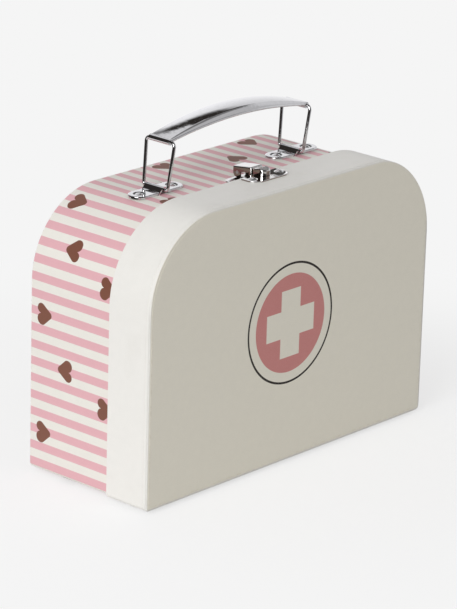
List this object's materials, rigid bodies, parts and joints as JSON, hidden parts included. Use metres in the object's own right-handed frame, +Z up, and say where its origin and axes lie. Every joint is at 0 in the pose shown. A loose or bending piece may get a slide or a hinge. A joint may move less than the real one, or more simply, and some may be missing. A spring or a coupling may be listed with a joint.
{
  "type": "toy doctor case",
  "caption": "Small paper-covered cardboard carrying case with rounded top corners, a hinged lid tray, a folding metal handle and a snap latch.",
  "frame": {"origin": "on the ground, midway between the sides and midway between front and back (bottom centre of the bounding box)", "axes": "+Z up with the case standing on its bottom, -Y out of the lid's front face, +X to the right as the front is seen"},
  "size_m": [0.2, 0.0794, 0.1706],
  "materials": {
    "greyboard": "matt, fibrous",
    "printed_paper": "matt, printed with stripes and hearts",
    "back_paper": "matt",
    "lining_paper": "matt",
    "cream_paper": "matt",
    "front_paper": "matt, printed with a round badge",
    "bright_plating": "bright nickel plating, polished",
    "plated_rivets": "bright plating",
    "plain_steel": "plain",
    "spring_steel": "tempered strip",
    "hinge_plating": "nickel plating, satin"
  },
  "bodies": {
    "case_base": {"base_wall_board": "greyboard", "base_back_board": "greyboard", "base_wrap": "printed_paper", "base_back_sheet": "back_paper", "base_wall_lining": "lining_paper", "base_back_lining": "lining_paper", "handle_plate_left": "bright_plating", "handle_plate_right": "bright_plating", "handle_rivets": "plated_rivets", "handle_washers": "plain_steel", "latch_plate": "bright_plating", "latch_pin": "plain_steel", "latch_plate_rivets": "plated_rivets", "hinge_leaf_base_left": "hinge_plating", "hinge_leaf_base_right": "hinge_plating", "hinge_pin_left": "plain_steel", "hinge_pin_right": "plain_steel", "hinge_rivets_base": "plated_rivets"},
    "lid": {"lid_wall_board": "greyboard", "lid_front_board": "greyboard", "lid_wrap": "cream_paper", "lid_front_sheet": "front_paper", "lid_wall_lining": "lining_paper", "lid_front_lining": "lining_paper", "keeper_plate": "bright_plating", "keeper_rivets": "plated_rivets", "hinge_leaf_lid_left": "hinge_plating", "hinge_leaf_lid_right": "hinge_plating", "hinge_rivets_lid": "plated_rivets"},
    "latch_lever": {"latch_lever": "bright_plating", "latch_spring": "spring_steel"},
    "bail_left": {"bail_left": "bright_plating"},
    "bail_right": {"bail_right": "bright_plating"},
    "handle_grip": {"handle_grip": "bright_plating"}
  },
  "joints": [
    {"name": "lid_hinge", "type": "hinge", "parent": "case_base", "child": "lid", "pos_m": [0, -0.0137, 0.00095], "axis": [1, 0, 0], "range_deg": [0, 180]},
    {"name": "latch_pivot", "type": "hinge", "parent": "case_base", "child": "latch_lever", "pos_m": [0, -0.0048, 0.1402], "axis": [-1, 0, 0], "range_deg": [0, 75]},
    {"name": "bail_left_pivot", "type": "hinge", "parent": "case_base", "child": "bail_left", "pos_m": [-0.0483, 0.007, 0.13895], "axis": [0, 1, 0], "range_deg": [-94, 80]},
    {"name": "bail_right_pivot", "type": "hinge", "parent": "case_base", "child": "bail_right", "pos_m": [0.0483, 0.007, 0.13895], "axis": [0, 1, 0], "range_deg": [-94, 80]},
    {"name": "grip_pivot", "type": "hinge", "parent": "bail_left", "child": "handle_grip", "pos_m": [-0.04548, 0.007, 0.16193], "axis": [0, 1, 0], "range_deg": [-80, 94]}
  ],
  "couplings": [
    {"joint": "bail_right_pivot", "follows": "bail_left_pivot", "ratio": 1},
    {"joint": "grip_pivot", "follows": "bail_left_pivot", "ratio": -1}
  ]
}
